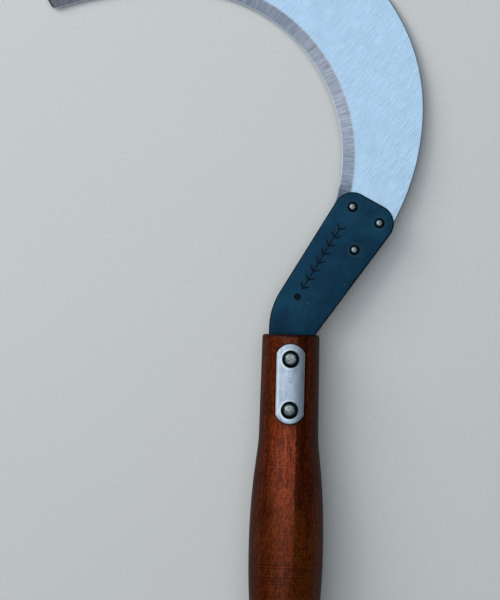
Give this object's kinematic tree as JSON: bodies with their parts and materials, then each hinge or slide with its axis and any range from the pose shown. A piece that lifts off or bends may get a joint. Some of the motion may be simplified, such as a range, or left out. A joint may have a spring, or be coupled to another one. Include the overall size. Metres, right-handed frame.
{
  "type": "hand sickle",
  "caption": "One-handed sickle: crescent blade ground on one face, riveted to a flat shank whose tang is held in a turned wooden handle by side plates and rivets.",
  "frame": {"origin": "centre of the handle's flat butt face, on the handle's axis", "axes": "+Y up the handle towards the blade, +Z out of the face on which the blade is ground, -X the way the blade's tip points"},
  "size_m": [0.178, 0.3455, 0.0344],
  "materials": {
    "blade_steel": "fine diagonal brushing",
    "blued_steel": "satin blue-black oxide",
    "lacquered_wood": "dark red-brown lacquer",
    "plate_steel": "satin, handled",
    "rivet_steel": "dull, peened"
  },
  "bodies": {
    "root": {"blade": "blade_steel", "shank_plate": "blued_steel", "handle": "lacquered_wood", "side_plate_front": "plate_steel", "side_plate_rear": "plate_steel", "blade_rivet_1": "rivet_steel", "blade_rivet_2": "rivet_steel", "blade_rivet_3": "rivet_steel", "handle_rivet_upper": "rivet_steel", "handle_rivet_lower": "rivet_steel"}
  },
  "joints": []
}
